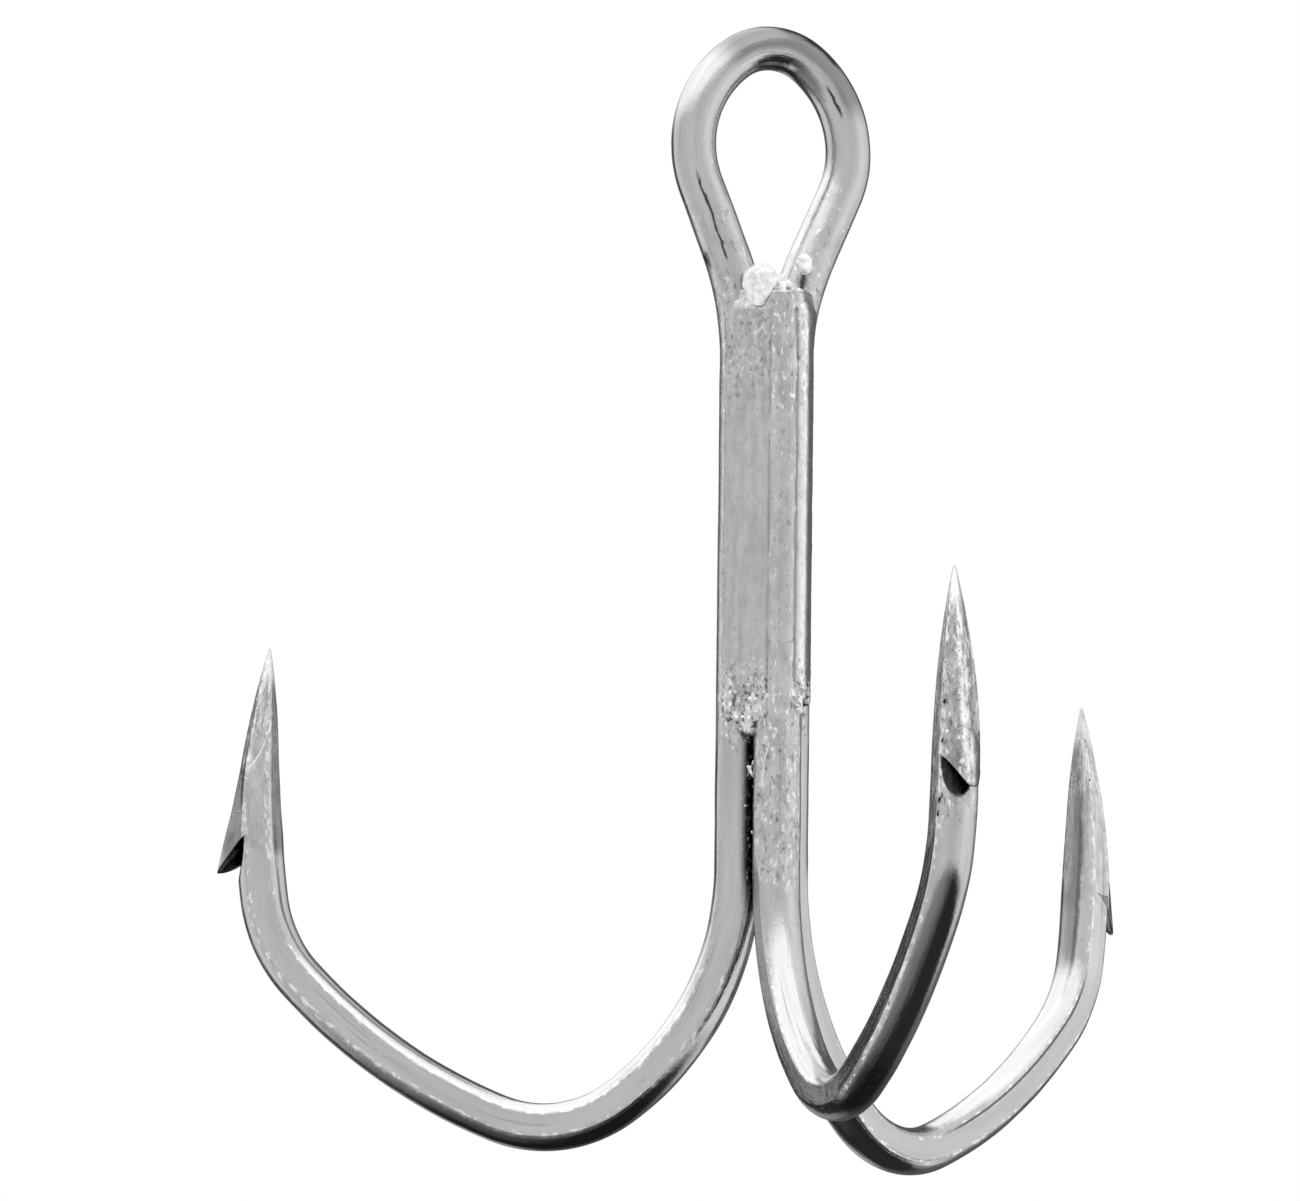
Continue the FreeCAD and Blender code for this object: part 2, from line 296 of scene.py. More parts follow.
def skin(name, grid, wrap, masks, poles=None):
    """A closed tube of faces over a grid of rows by columns, shut by a pole at each end: the middles
    of the first and the last row, unless poles gives them. wrap is the place on the surface for its
    finish, and masks are its other values, one for each point."""
    rows, columns = grid.shape[:2]
    poles = poles or (grid[0].mean(axis=0), grid[-1].mean(axis=0))
    points = np.concatenate((grid.reshape(-1, 3), poles)) * MM
    corner = np.arange(rows * columns).reshape(rows, columns)
    beside = np.roll(corner, -1, axis=1)
    quads = np.stack((corner[:-1], beside[:-1], beside[1:], corner[1:]), axis=-1).reshape(-1, 4)
    low = rows * columns
    first = np.stack((beside[0], corner[0], np.full(columns, low)), axis=-1)
    last = np.stack((corner[-1], beside[-1], np.full(columns, low + 1)), axis=-1)
    mesh = bpy.data.meshes.new(name)
    mesh.vertices.add(len(points))
    mesh.vertices.foreach_set("co", points.astype(np.float32).ravel())
    loops = np.concatenate((quads.ravel(), first.ravel(), last.ravel()))
    totals = np.concatenate((np.full(len(quads), 4), np.full(2 * columns, 3)))
    starts = np.concatenate(([0], np.cumsum(totals)[:-1]))
    mesh.loops.add(len(loops))
    mesh.loops.foreach_set("vertex_index", loops.astype(np.int32))
    mesh.polygons.add(len(totals))
    mesh.polygons.foreach_set("loop_start", starts.astype(np.int32))
    mesh.polygons.foreach_set("loop_total", totals.astype(np.int32))
    mesh.polygons.foreach_set("use_smooth", np.ones(len(totals), bool))
    mesh.update(calc_edges=True)
    add_layer(mesh, "wrap", wrap)
    for key, values in masks.items():
        add_layer(mesh, key, values)
    piece = bpy.data.objects.new(name, mesh)
    bpy.context.scene.collection.objects.link(piece)
    return piece


def outward(grid):
    """Unit normals of a grid that is closed along its columns, from its central differences."""
    down = np.gradient(grid, axis=0)
    across = np.roll(grid, -1, axis=1) - np.roll(grid, 1, axis=1)
    normal = np.cross(across, down)
    return normal / np.maximum(np.linalg.norm(normal, axis=-1, keepdims=True), 1e-9)


# ---- hooks ----

def section_angles():
    """Angles round the wire from its outer side: across the outer round, a flat, the inner round and
    the other flat, evenly spaced in each."""
    edge = math.asin(flat_share)
    spans = (
        (-edge, edge, 32),
        (edge, math.pi - edge, 8),
        (math.pi - edge, math.pi + edge, 26),
        (math.pi + edge, 2 * math.pi - edge, 8),
    )
    return np.concatenate([np.linspace(low, high, count, endpoint=False) for low, high, count in spans])


angles = section_angles()
from_outside = np.abs((angles + math.pi) % (2 * math.pi) - math.pi)


def point_radius(back):
    """Radius of the round point: a parabola that meets the wire at taper_length."""
    share = np.minimum(back / taper_length, 1.0)
    return tip_radius + (wire_radius - tip_radius) * (1 - (1 - share) ** 2)


def barb_rise(back):
    """How far the back of the barb stands beyond the taper."""
    return barb_flare * np.maximum(back - barb_start, 0.0) ** barb_power


def hook_place(back, out, side, turn):
    """Points of a hook, from how far back from the tip, outwards and sideways they are."""
    start = (stack_radius, bend_start)
    u, z, heading = follow(bend_stretches, start, -math.pi / 2, bend_length - back)
    u = u + out * np.sin(heading)
    z = z - out * np.cos(heading)
    turn = math.radians(turn)
    x = u * math.cos(turn) - side * math.sin(turn)
    y = axis_y + u * math.sin(turn) + side * math.cos(turn)
    return np.stack((x, y, z), axis=-1)


def hook_rows(reach):
    """Distances back from the tip of the wire and of the barb, row by row, and how far the row has
    got along the barb's underside."""
    tip_rows = np.linspace(0.0, fine_tip, 8, endpoint=False)
    spear_rows = np.linspace(fine_tip, barb_root, 90)
    ahead = np.concatenate((tip_rows, spear_rows))
    stretch = (barb_length - barb_start) / (barb_root - barb_start)
    barb = ahead + np.maximum(ahead - barb_start, 0.0) * (stretch - 1.0)
    share = np.linspace(0.0, 1.0, 10)[1:]
    under = barb_root + underside_run * share
    rest = np.arange(under[-1] + row_step, reach, row_step)
    wire = np.concatenate((ahead, under, rest, [reach]))
    barb = np.concatenate((barb, barb_length + (under[-1] - barb_length) * share, rest, [reach]))
    folded = np.concatenate((np.zeros(len(ahead)), share, np.ones(len(rest) + 1)))
    return wire, barb, folded


def facets(angle):
    """Distance from the middle of the wire to the nearest ground face of the point, as a share of its
    radius: each face is a plane at its own angle and depth."""
    reach = np.ones(np.shape(angle))
    for towards, depth in ground_faces:
        facing = np.cos(angle - math.radians(towards))
        reach = np.minimum(reach, depth / np.maximum(facing, 0.1))
    return reach


def barb_lead(to_high):
    """How far each column runs ahead with the barb, from 0 to 1, by its angle from the outside of the
    wire towards the barb's high side."""
    high = np.exp(-(np.maximum(to_high, 0.0) / math.radians(barb_high_width)) ** barb_high_fall)
    low = np.exp(-(np.maximum(-to_high, 0.0) / math.radians(barb_low_width)) ** barb_low_fall)
    return high * low


def hook_section(back, around, to_high, folded):
    """How far outwards and sideways the points of a hook are. The section is round, ground to faces
    near the point, raised along the back of the barb and clipped to two flats."""
    radius = point_radius(back)
    ground = 1 - smooth((back - ground_length) / ground_fade)
    section = radius * (1 - ground * (1 - facets(from_outside)))
    width = np.where(to_high > 0, barb_high_flank, barb_low_flank)
    flank = np.exp(-(from_outside / np.radians(width)) ** 2)
    out = section * np.cos(angles) + np.where(folded == 0, barb_rise(back) * flank, 0.0)
    side = section * np.sin(around)
    height = back - bend_length
    faded = smooth((flat_top - height) / flat_run_out)
    limit = radius * (1 - (1 - flat_share) * faded)
    return out, np.clip(side, -limit, limit)


def beyond_cut(out, side, wire, folded, lean):
    """How far points stand beyond the floor of the barb's cut, which leans over by this angle and
    rises as a parabola from its depth at the root to the wire's surface."""
    floor_depth = cut_depth + (wire_radius - cut_depth) * ((wire - barb_root) / cut_length) ** 2
    proud = out * math.cos(lean) + side * math.sin(lean) - floor_depth
    return np.where((folded == 1) & (wire < barb_root + cut_length), np.maximum(proud, 0.0), 0.0)


def hook_grid(reach, turn, mirror, high_side):
    """One hook from its tip to reach: its points, how far back along the wire they are, and how deep the
    painted shade on the cut and under the barb is at them. On the outside the barb is a flap: its
    columns run ahead to its slanting free edge, fold straight back to its root, and go on over the
    sloping floor of the cut."""
    wire, barb, folded = (values[:, None] for values in hook_rows(reach))
    around = -angles if mirror else angles
    signed = (around + math.pi) % (2 * math.pi) - math.pi
    to_high = signed * high_side
    lead = barb_lead(to_high)
    back = wire + lead * (barb - wire)
    out, side = hook_section(back, around, to_high, folded)
    lean = math.radians(cut_lean) * high_side
    proud = beyond_cut(out, side, wire, folded, lean)
    out = out - proud * math.cos(lean)
    side = side - proud * math.sin(lean)
    # Painted shade on the floor of the barb's cut, and on the barb's underside as it folds back to its root
    cut = smooth(proud / cut_shade_depth)
    edge = int(np.sum(folded[:, 0] == 0)) - 1
    root = int(np.argmax(folded[:, 0] == 1))
    share = folded[edge + 1:root]
    cut[edge + 1:root + 1] = np.maximum(cut[root], smooth(lead * 4.0))
    for values in (back, out, side):
        values[edge + 1:root] = values[edge] + (values[root] - values[edge]) * share
    return hook_place(back, out, side, turn), back, cut


def tip_pole(turn):
    """The very tip of a hook, just beyond its first row."""
    return hook_place(np.array(-0.05), np.array(0.0), np.array(0.0), turn)


# ---- the folded wire's eye ----

def eye_grid(first, last, steps):
    """The round wire of the eye between two distances from its top, counted along the wire: a circle
    square to the line, turned to meet the sections of both hooks and drawn thinner over the top."""
    along = np.linspace(first, last, steps)
    x, z, heading = follow(half_eye, (0.0, eye_top_z), 0.0, np.abs(along))
    x = np.where(along < 0, -x, x)
    x = x + eye_lean * smooth((z - legs_meet) / -legs_meet)
    heading = np.where(along < 0, -heading, heading)
    zero = np.zeros(steps)
    square = np.stack((-np.sin(heading), zero, np.cos(heading)), axis=-1)
    level = np.array([0.0, 1.0, 0.0])
    swing = math.radians(hook_turns["left"] + 60.0)
    out = math.cos(swing) * square + math.sin(swing) * level
    side = math.sin(swing) * square - math.cos(swing) * level
    centre = np.stack((x, zero, z), axis=-1)
    ring = np.cos(angles)[:, None] * out[:, None, :] + np.sin(angles)[:, None] * side[:, None, :]
    thin = 1 - eye_thinning * (1 - smooth(np.abs(along) / (half_eye_length + 1.0)))
    return centre[:, None, :] + wire_radius * thin[:, None, None] * ring, along


def worn(grid, seed):
    """The surface with the slow unevenness of drawn and plated wire."""
    return grid + outward(grid) * (ripple(grid, wire_wear_scale, seed) * wire_wear)[..., None]


def wrap_of(along):
    """Place on the wire for its finish: round the section, and along the wire."""
    around = wire_radius * np.stack((np.cos(angles), np.sin(angles)), axis=-1)
    return np.concatenate((np.broadcast_to(around, along.shape + (2,)), along[..., None]), axis=-1)


shank_reach = half_eye_length + (legs_meet - bend_start) - hook_overlap


def double_hook():
    """The wire of the eye with a hook at each end."""
    reach = bend_length + hook_overlap
    left, left_back, left_cut_shade = hook_grid(reach, hook_turns["left"], True, 1.0)
    right, right_back, right_cut_shade = hook_grid(reach, hook_turns["right"], False, 1.0)
    middle, along = eye_grid(-shank_reach, shank_reach, 520)
    middle = middle[1:-1]
    along = np.broadcast_to(along[1:-1, None], middle.shape[:2])
    grid = worn(np.concatenate((left, middle, right[::-1])), 4)
    start = shank_reach + reach
    steps = np.concatenate((left_back - start, along, start - right_back[::-1]))
    masks = {
        "brazed": brazed_share(grid, 1.2),
        "from_tip": np.concatenate((left_back, start - np.abs(along), right_back[::-1])),
        "cut": np.concatenate((left_cut_shade, np.zeros(middle.shape[:2]), right_cut_shade[::-1])),
        "soot": groove_shade_share(grid, (0.0, front_y)),
    }
    poles = (tip_pole(hook_turns["left"]), tip_pole(hook_turns["right"]))
    return skin("folded_wire", grid, wrap_of(steps), masks, poles)


def third_hook():
    """The shorter wire, from its tip up to its cut end, whose edge is slightly rounded."""
    reach = bend_length + shank_length - third_hook_drop
    grid, back, cut = hook_grid(reach, hook_turns["front"], False, -1.0)
    centre = np.array([0.0, front_y, -third_hook_drop])
    ends = []
    for share in (0.97, 0.9, 0.6, 0.3):
        ring = (grid[-1] - centre) * share + centre
        ring[:, 2] += cut_end_rounding * math.sqrt(1 - share ** 2)
        ends.append(ring)
    grid = worn(np.concatenate((grid, ends)), 9)
    back = np.concatenate((back, np.repeat(back[-1:], len(ends), axis=0)))
    cut = np.pad(cut, ((0, len(ends)), (0, 0)))
    # Painted shade on the belly of the third hook's bend
    low, high = belly_span
    belly = smooth((1.45 - from_outside) / 0.4) * smooth((back - low) / 2.5) * smooth((high - back) / 3.0)
    masks = {
        "brazed": brazed_share(grid, 8.5),
        "from_tip": back,
        "cut": cut,
        "soot": np.maximum(groove_shade_share(grid, (-leg_x, 0.0)), belly_shade * belly),
    }
    poles = (tip_pole(hook_turns["front"]), centre + np.array([0.0, 0.0, cut_end_rounding]))
    return skin("third_wire", grid, wrap_of(back), masks, poles)


def groove_shade_share(grid, other):
    """Painted shade on the wire where it comes close to another wire's middle line in the open groove
    below the seams."""
    beside = np.hypot(grid[..., 0] - other[0], grid[..., 1] - other[1]) - wire_radius
    height = grid[..., 2] - bend_start
    reach = smooth((height + 2.5) / 2.5) * (1 - smooth((height - shade_top) / 1.0))
    return (1 - smooth((beside - shade_near) / shade_fade)) * reach


def pitted_low(z):
    """0 to 1 towards the lower ends of the seams, where the metal is pitted."""
    return smooth((pitted_below - z) / 3.0)


def pitted_high(z):
    """0 to 1 towards the upper ends of the seams."""
    return smooth((z - pitted_above) / 3.0)


def brazed_share(grid, below):
    """1 where the shank has been wetted by the brazing metal, most at the ends of the seams and fading
    out this far below them."""
    height = grid[..., 2] + 1.2 * ripple(grid, 1.6, 21)
    bottom = bend_start + seam_stops["front_left"]
    wetted = smooth((height - bottom + below) / 2.4) * (1 - 0.6 * smooth((height + 7.0) / 2.0))
    wetted = wetted * smooth((-height - 0.5) / 3.0)
    return wetted * (0.6 + 0.6 * pitted_low(height) + 0.5 * pitted_high(height))


# ---- brazing metal ----

def leg_centre(z):
    """How far the middle of each leg of the eye is from the middle plane at height z."""
    angle = np.arcsin(np.clip((z - legs_meet) / eye_leg_blend_radius, 0.0, 0.99))
    bent = leg_x + eye_leg_blend_radius * (1 - np.cos(angle))
    slope = math.tan(math.radians(eye_leg_slope))
    top = legs_meet + eye_leg_blend_radius * math.sin(math.radians(eye_leg_slope))
    return np.where(z > top, slope_end_x + (z - top) * slope, bent)


def left_wire(z):
    """Middle of the left wire at height z, in the plane."""
    return np.stack((-leg_centre(z), 0 * z, 0 * z), axis=-1)


def right_wire(z):
    """Middle of the right wire at height z, in the plane."""
    return np.stack((leg_centre(z), 0 * z, 0 * z), axis=-1)


def front_wire(z):
    """Middle of the third hook's wire at height z, in the plane."""
    return np.stack((0 * z, front_y + 0 * z, 0 * z), axis=-1)


def seam(name, first, second, seed):
    """Metal in the groove between two wires, whose middles are functions of height: its outer face
    spans the groove, hugs both wires beyond it and is raised by a parabola, in shares of the wire's
    radius. Below its ragged lower end only crumbs are left in the groove. The open groove below the
    seam and its inner faces carry painted shade, and a dark line of painted shade runs along its border."""
    low, high, border_level, crown = seam_shapes[name]
    z = np.linspace(seam_top, bend_start + 0.5, 420)[:, None]
    left, right = first(z), second(z)
    across = right - left
    spread = np.linalg.norm(across, axis=-1, keepdims=True) / 2
    across = across / (2 * spread)
    out = np.stack((across[..., 1], -across[..., 0], 0 * across[..., 0]), axis=-1)
    lift = np.array([0.0, 0.0, 1.0]) * z[..., None]
    waver = ripple(np.array([1.0, 0.0, 0.0]) + lift, 1.3, seed + 7)
    face = np.linspace(low, high, 61)[None, :] * (1.0 + 0.02 * waver)
    spot = (left + right) / 2 + across * (face[..., None] * spread) + lift
    ragged = bend_start + seam_stops[name] + 0.45 * ripple(spot, 1.1, seed)
    ragged = ragged + 0.35 * ripple(spot, 0.5, seed + 1)
    full = smooth((z - ragged + 0.35) / seam_run_out)
    from_middle = (face - (high + low) / 2) / ((high - low) / 2)
    sway = 0.06 * ripple(spot, 1.6, seed + 4) + 0.03 * ripple(spot, 0.4, seed + 6)
    crumbs = np.clip(ripple(spot, 0.42, seed + 5) - 0.2, 0.0, 1.0) * smooth((z - bend_start - 0.6) / 2.5)
    beyond = np.maximum(np.abs(face) - 1, 0.0) * spread[..., 0] / wire_radius
    level = border_level * np.sqrt(1 - beyond ** 2) + crown * (1 - (from_middle + sway * crown * 3) ** 2)
    level = level - 0.25 * smooth((z - seam_top + 1.1) / 1.1)
    open_level = groove_level + crumb_level * crumbs * (1 - full)
    level = wire_radius * (open_level + (level - groove_level) * full)
    pitted = 0.004 + 0.016 * pitted_low(z)
    level = level + full * (0.006 * ripple(spot, 1.2, seed + 2) + pitted * ripple(spot, 0.25, seed + 3))
    top = spot + out * level[..., None]
    inner = spot[:, ::-1][:, 1:-1] + out * 0.05
    grid = np.concatenate((top, inner), axis=1)
    # A dark line of painted shade along the crevice at the seam's border
    place, darkness = seam_shade_lines[name]
    edge = np.exp(-((from_middle - place + sway * crown) / seam_shade_width) ** 2) * full * darkness
    white = np.exp(-((from_middle - seam_white_place) / seam_white_width) ** 2) * seam_whiteness[name]
    shut = np.ones(inner.shape[:2])
    outer_and_inner = {
        # Painted shade in the open groove below the seam and on the seam's inner faces
        "soot": ((1 - full) * (1 - np.minimum(crumbs * 2.5, 1.0)), shut),
        "seam_edge": (edge, shut),
        "mottled": (pitted_low(z) + 0.45 * pitted_high(z) + 0 * edge, shut),
        "whiteness": (white, 0 * shut),
    }
    masks = {key: np.concatenate(values, axis=1) for key, values in outer_and_inner.items()}
    return skin("groove_braze_" + name, grid, grid, masks)


def nugget(name, centre, half, seed, faces, sharpness, turn=0.0):
    """A faceted lump: each direction reaches to the nearest of several random planes, softened by a
    power mean, and is stretched to the lump's half sizes."""
    chance = np.random.default_rng(seed)
    planes = chance.normal(size=(faces, 3))
    planes /= np.linalg.norm(planes, axis=1, keepdims=True)
    gaps = chance.uniform(*lump_gaps, faces)
    polar = np.linspace(0.0, math.pi, 42)[1:-1, None]
    round_it = np.linspace(0.0, 2 * math.pi, 64, endpoint=False)[None, :]
    rays = np.stack((
        np.sin(polar) * np.cos(round_it),
        np.sin(polar) * np.sin(round_it),
        np.cos(polar) + 0 * round_it,
    ), axis=-1)
    facing = np.maximum(rays @ planes.T, 0.0) / gaps
    reach = 1 / (np.sum(facing ** sharpness, axis=-1) + lump_round ** sharpness) ** (1 / sharpness)
    shape = rays * reach[..., None] * np.array(half)
    turn = math.radians(turn)
    spin = np.array([
        [math.cos(turn), math.sin(turn), 0.0],
        [-math.sin(turn), math.cos(turn), 0.0],
        [0.0, 0.0, 1.0],
    ])
    rough = 0.035 * ripple(shape, 0.6, seed + 1) + 0.02 * ripple(shape, 0.3, seed + 2)
    grid = (shape + rays * rough[..., None]) @ spin + np.array(centre)
    grid = grid[::-1]
    return skin(name, grid, grid, {"whiteness": np.ones(grid.shape[:2])})


def web():
    """Metal in the throat of the eye: a plate between the legs whose top is a rounded, hollow saddle
    and whose faces slope out to the grooves below."""
    share = np.linspace(-1.0, 1.0, 49)[:, None]
    turn = np.linspace(0.0, 2 * math.pi, 72, endpoint=False)[None, :]
    depth = legs_meet - 0.6
    lift = (np.sin(turn) + 1) / 2
    top = -web_drop + web_hollow * (share - 0.15) ** 2 + 0.1 * share
    z = depth + (top - depth) * lift ** 0.55
    low = smooth((-web_drop - 0.1 - z) / 1.6)
    front = web_thickness / 2 + low * web_front_spread
    rear = web_thickness / 2 + low * web_rear_spread
    y = np.where(np.cos(turn) > 0, rear, front) * np.cos(turn)
    y = np.sign(y) * np.abs(y) ** 0.8
    x = share * (leg_centre(z) - web_narrowing)
    grid = np.stack((x + 0 * y, y + 0 * x, z + 0 * x), axis=-1)
    rough = 0.02 * ripple(grid, 0.9, 31) + 0.012 * ripple(grid, 0.4, 32)
    grid = grid + outward(grid) * rough[..., None]
    return skin("throat_web", grid, grid, {"whiteness": np.full(grid.shape[:2], 0.5)})


# ---- finishes ----

class Field:
    """A socket of a node tree on which arithmetic adds Math nodes."""

    def __init__(self, paint, socket):
        self.paint = paint
        self.socket = socket

    def math(self, operation, *values):
        return self.paint.node("ShaderNodeMath", {"operation": operation}, dict(enumerate(values)))

    def __add__(self, other):
        return self.math("ADD", self, other)

    def __sub__(self, other):
        return self.math("SUBTRACT", self, other)

    def __rsub__(self, other):
        return self.math("SUBTRACT", other, self)

    def __mul__(self, other):
        return self.math("MULTIPLY", self, other)

    def __truediv__(self, other):
        return self.math("DIVIDE", self, other)

    __radd__ = __add__
    __rmul__ = __mul__

    def step(self, low, high):
        """0 below low, 1 above high and smooth between."""
        settings = {"interpolation_type": "SMOOTHSTEP"}
        sockets = {"Value": self, "From Min": low, "From Max": high}
        return self.paint.node("ShaderNodeMapRange", settings, sockets)

    def absolute(self):
        return self.math("ABSOLUTE", self)

    def bearing(self, ahead):
        """The angle from the direction ahead towards this one."""
        return self.math("ARCTAN2", self, ahead)

    def near(self, place, inner, outer):
        """1 within inner of a place and 0 beyond outer."""
        return 1.0 - (self - place).absolute().step(inner, outer)

    def darkened(self, *masks):
        """This field times what each mask leaves of it."""
        level = self
        for mask in masks:
            level = level * (1.0 - mask)
        return level

    def capped(self):
        return self.math("MINIMUM", self, 1.0)


class Paint:
    """The node tree of a finish, a floor or the world."""

    def __init__(self, tree):
        self.tree = tree
        tree.nodes.clear()

    def node(self, kind, settings, sockets, output=0):
        """A node with its settings, then the values or links of its sockets."""
        node = self.tree.nodes.new(kind)
        for key, value in settings.items():
            if key == "stops":
                self.set_stops(node.color_ramp, value)
            else:
                setattr(node, key, value)
        for key, value in sockets.items():
            if isinstance(value, Field):
                self.tree.links.new(value.socket, node.inputs[key])
            else:
                node.inputs[key].default_value = value
        return Field(self, node.outputs[output]) if node.outputs else None

    def set_stops(self, ramp, stops):
        """Grey stops of a ramp, as pairs of place and value."""
        while len(ramp.elements) < len(stops):
            ramp.elements.new(1.0)
        for element, (place, value) in zip(ramp.elements, stops):
            element.position = place
            element.color = (value, value, value, 1.0)

    def parts(self, vector):
        """The three numbers of a vector."""
        outputs = self.node("ShaderNodeSeparateXYZ", {}, {0: vector}).socket.node.outputs
        return [Field(self, outputs[axis]) for axis in "XYZ"]

    def noise(self, place, scale, stretch=(1.0, 1.0, 1.0), detail=3.0, roughness=0.5):
        """Noise over a place that is stretched along each axis first."""
        settings = {"operation": "MULTIPLY"}
        place = self.node("ShaderNodeVectorMath", settings, {0: place, 1: stretch})
        sockets = {"Vector": place, "Scale": scale, "Detail": detail, "Roughness": roughness}
        return self.node("ShaderNodeTexNoise", {}, sockets, "Fac")

    def mottle(self, place):
        """Soft patches from 0 to 1, longer along the wires than round them."""
        return self.noise(place, 2.0, (1.0, 1.0, 0.5), 6.0, 0.7).step(0.32, 0.68)

    def attribute(self, name, output="Fac"):
        """A layer of the mesh."""
        return self.node("ShaderNodeAttribute", {"attribute_name": name}, {}, output)

    def grey(self, value):
        """A grey colour from a value."""
        return self.node("ShaderNodeCombineColor", {}, {0: value, 1: value, 2: value})


def finish(name, base, roughness, height, bump_depth, powdered=None):
    """A metal whose grey, roughness and height of surface, and how far it is a dull white crust, are
    fields from these functions."""
    material = bpy.data.materials.new(name)
    material.use_nodes = True
    paint = Paint(material.node_tree)
    relief = {"Strength": 1.0, "Distance": bump_depth * MM, "Height": height(paint)}
    sockets = {
        "Base Color": paint.grey(base(paint)),
        "Metallic": 1.0 - powdered(paint) if powdered else 1.0,
        "Roughness": roughness(paint),
        "Normal": paint.node("ShaderNodeBump", {}, relief),
    }
    shader = paint.node("ShaderNodeBsdfPrincipled", {}, sockets)
    paint.node("ShaderNodeOutputMaterial", {}, {"Surface": shader})
    return material


class WireSpot:
    """Where a point is on the wires, for their finish: distances in millimetres, angles in radians and
    parts of the hooks as fields from 0 to 1. The grains are stronger where braze has run."""

    def __init__(self, paint):
        self.place = paint.attribute("wrap", "Vector")
        self.outwards, self.sideways, self.along = paint.parts(self.place)
        self.from_tip = paint.attribute("from_tip")
        self.brazed = paint.attribute("brazed")
        self.mottle = paint.mottle(self.place)
        # Angle from the outside of the wire, the same on both sides, and signed with ragged borders
        self.theta = self.sideways.absolute().bearing(self.outwards)
        self.turned = self.sideways.bearing(self.outwards) + (self.mottle - 0.5) * 0.10
        # along is 0 at the top of the eye, and the same as from_tip on the third hook
        self.on_left = 1.0 - self.along.step(-1.0, 0.0)
        self.on_right = self.along.step(68.5, 71.0)
        self.on_front = 1.0 - (self.from_tip - self.along).absolute().step(0.1, 0.2)
        self.on_eye = self.from_tip.step(48.0, 52.0)
        self.spear = 1.0 - self.from_tip.step(8.8, 9.6)
        self.flats = 1.0 - self.from_tip.step(24.0, 27.0)
        grains = paint.noise(self.place, 5.0, (1.0, 1.0, 0.5), 4.0, 0.6)
        self.grains = (grains - 0.5) * (1.0 + self.brazed * 0.45) + 0.5


def touched(spot):
    """The dark touches on the eye."""
    wavy = spot.along + (spot.mottle - 0.5) * 0.5
    touches = [spot.turned.near(*across) * wavy.near(*along) for across, along in eye_touches]
    return sum(touches[1:], touches[0]).capped() * spot.on_eye


def eye_top_shade(spot):
    """Painted shade: a grey cloud on one side of the eye's top that dims the bright ceiling it reflects."""
    return spot.turned.near(-1.85, 0.75, 1.1) * spot.along.near(1.2, 2.8, 4.2) * spot.on_eye


def right_spear_tone(spot):
    """Darkening over the inner side of the right hook's spear, with a darker border beside its brighter
    flank."""
    turned, from_tip = spot.turned, spot.from_tip
    tone_shift = (1.0 - turned.step(-2.84, -2.74) + turned.step(2.0, 2.3)) * 0.55
    tone_shift = tone_shift + turned.near(-2.74, 0.03, 0.12) * from_tip.step(3.5, 5.0)
    tone_shift = (tone_shift - turned.near(-1.8, 0.75, 0.95) * 0.25) * spot.on_right
    return tone_shift * from_tip.step(1.2, 1.8) * (1.0 - from_tip.step(11.5, 13.5))


def scored(spot):
    """The bright tick and the scratch on the shank of the third hook."""
    down = spot.from_tip - bend_length
    tick_level = down - (spot.turned - tick_turn) * tick_slant
    tick = spot.turned.near(tick_turn, 0.3, 0.36) * tick_level.near(tick_height, 0.05, 0.11)
    scratch = (spot.turned + down * scratch_slant).near(scratch_turn, 0.015, 0.05)
    return (tick + scratch * down.near(scratch_height, 0.8, 1.0)) * spot.on_front


def bevel_shade(spot):
    """Painted shade on the ground faces on both sides of a spear's ridges, deeper on the left hook."""
    outer = spot.theta.near(0.56, 0.34, 0.42) * (0.22 + spot.on_left * 0.30)
    inner = spot.theta.near(2.80, 0.42, 0.52) * (0.15 + spot.on_left * 0.40)
    return (outer + inner) * spot.spear * spot.from_tip.step(0.7, 2.2)


